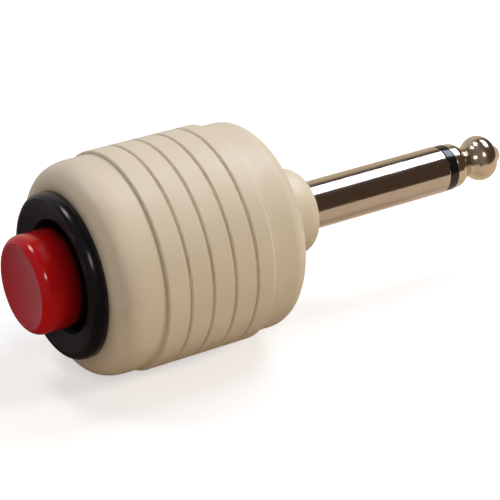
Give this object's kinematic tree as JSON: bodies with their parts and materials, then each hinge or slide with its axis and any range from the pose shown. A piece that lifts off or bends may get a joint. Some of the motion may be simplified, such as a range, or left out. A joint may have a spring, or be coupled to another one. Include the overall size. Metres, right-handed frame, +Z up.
{
  "type": "quiz buzzer",
  "caption": "Handheld quiz buzzer: a sprung red push button in a ribbed round handle that plugs in by a quarter-inch phone plug.",
  "frame": {"origin": "on the axis at the collar's end face, where the plug leaves the handle", "axes": "+X along the plug towards its tip, the button faces -X; +Z up; the part is round about X"},
  "size_m": [0.0729, 0.0282, 0.0282],
  "materials": {
    "cream_plastic": "satin moulded, warm off-white",
    "black_plastic": "semi-gloss black moulding",
    "red_plastic": "polished red",
    "white_plastic": "natural acetal",
    "phenolic": "brown phenolic",
    "nickel_plate": "polished nickel plate",
    "brass": "stamped",
    "spring_steel": "drawn wire",
    "solder": "dull tin solder",
    "red_wire": "insulation",
    "black_wire": "insulation"
  },
  "bodies": {
    "handle": {"front_housing": "cream_plastic", "rear_housing": "cream_plastic", "switch_bezel": "black_plastic", "lock_washer": "nickel_plate", "switch_nut": "nickel_plate", "switch_base": "phenolic", "fixed_contact_left": "brass", "fixed_contact_right": "brass", "terminal_left": "brass", "terminal_right": "brass", "return_spring": "spring_steel", "plug_sleeve": "nickel_plate", "plug_tip": "nickel_plate", "tip_insulator_ring": "black_plastic", "insulator_tube": "white_plastic", "rear_insulator_washer": "phenolic", "plug_retaining_nut": "brass", "tip_lug": "brass", "sleeve_lug": "brass", "wire_tip": "red_wire", "wire_sleeve": "black_wire", "solder_terminal_left": "solder", "solder_terminal_right": "solder", "solder_tip_lug": "solder", "solder_sleeve_lug": "solder"},
    "button": {"button_cap": "red_plastic", "plunger": "white_plastic", "contact_bridge": "brass", "bridge_clip": "spring_steel"}
  },
  "joints": [
    {"name": "button_press", "type": "slide", "parent": "handle", "child": "button", "axis": [1, 0, 0], "range_m": [0, 0.002], "stiffness_N_per_m": 400, "springref_m": -0.003, "deforming": ["return_spring"]}
  ]
}
